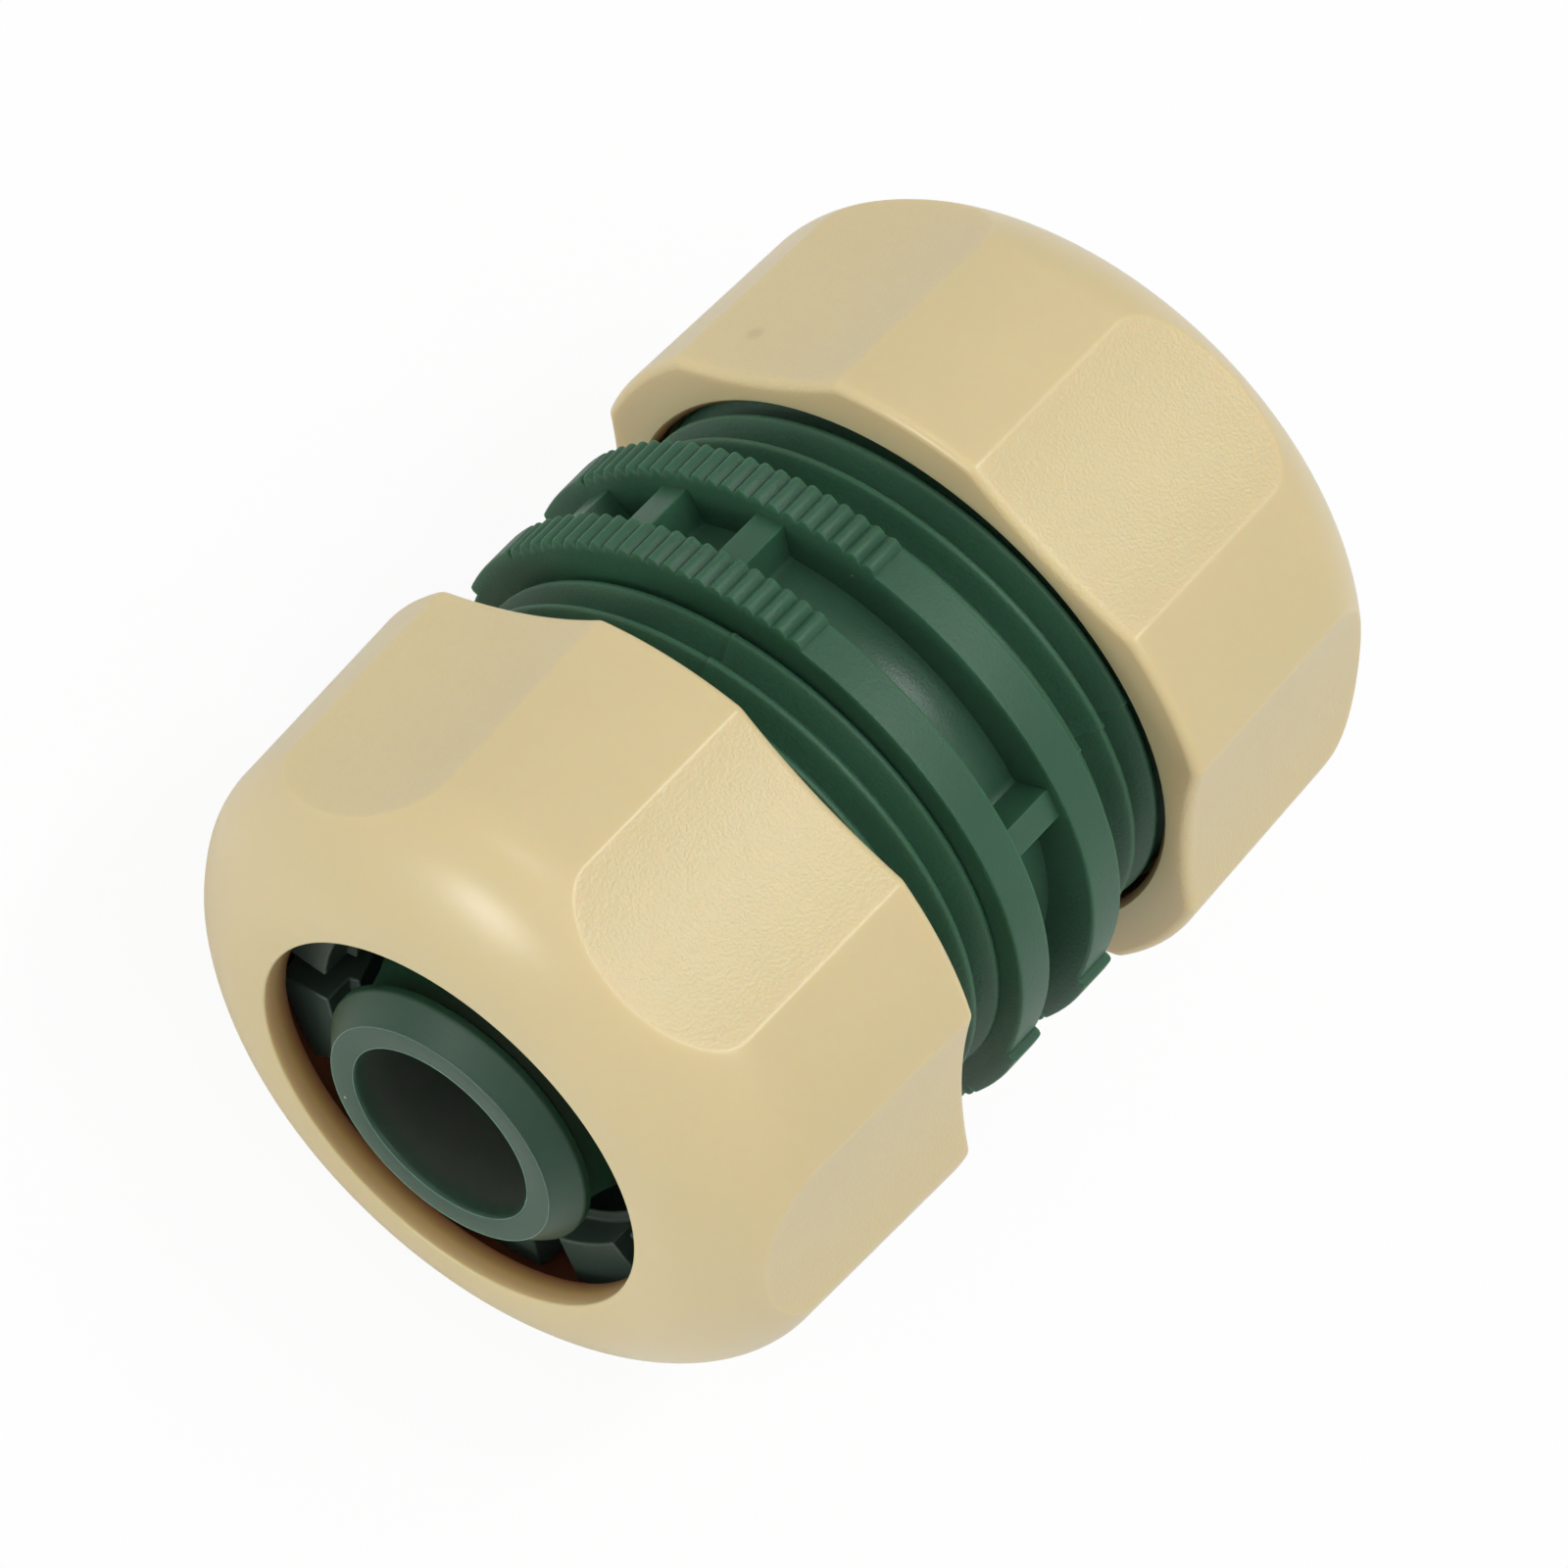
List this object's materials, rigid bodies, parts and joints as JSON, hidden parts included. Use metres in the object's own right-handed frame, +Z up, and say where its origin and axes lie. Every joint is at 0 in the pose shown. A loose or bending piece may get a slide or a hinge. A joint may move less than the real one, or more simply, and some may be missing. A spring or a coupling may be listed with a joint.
{
  "type": "hose mender",
  "caption": "Straight hose mender with barbed spigots and screw-on clamp nuts, for joining two ends of garden hose.",
  "frame": {"origin": "centre of the mender, on its axis", "axes": "+X along the axis of both spigots towards the right nut, +Z up as it lies on a finger hollow of each nut"},
  "size_m": [0.049, 0.0344, 0.0326],
  "materials": {
    "body_plastic": "satin green, moulded",
    "nut_plastic": "satin cream, moulded",
    "ring_plastic": "satin dark green, moulded"
  },
  "bodies": {
    "mender": {"mender_body": "body_plastic"},
    "left_ring": {"left_grip_ring": "ring_plastic"},
    "left_clamp": {"left_nut": "nut_plastic"},
    "right_ring": {"right_grip_ring": "ring_plastic"},
    "right_clamp": {"right_nut": "nut_plastic"}
  },
  "joints": [
    {"name": "left_nut_turn", "type": "hinge", "parent": "left_ring", "child": "left_clamp", "pos_m": [-0.016, 0, 0], "axis": [-1, 0, 0], "range_deg": [-725, 365]},
    {"name": "left_nut_travel", "type": "slide", "parent": "mender", "child": "left_ring", "axis": [-1, 0, 0], "range_m": [-0.0033, 0.00165]},
    {"name": "right_nut_turn", "type": "hinge", "parent": "right_ring", "child": "right_clamp", "pos_m": [0.0155, 0, 0], "axis": [1, 0, 0], "range_deg": [-605, 485]},
    {"name": "right_nut_travel", "type": "slide", "parent": "mender", "child": "right_ring", "axis": [1, 0, 0], "range_m": [-0.00275, 0.0022]}
  ],
  "couplings": [
    {"joint": "left_nut_turn", "follows": "left_nut_travel", "rad_per_m": 3808},
    {"joint": "right_nut_turn", "follows": "right_nut_travel", "rad_per_m": 3808}
  ]
}
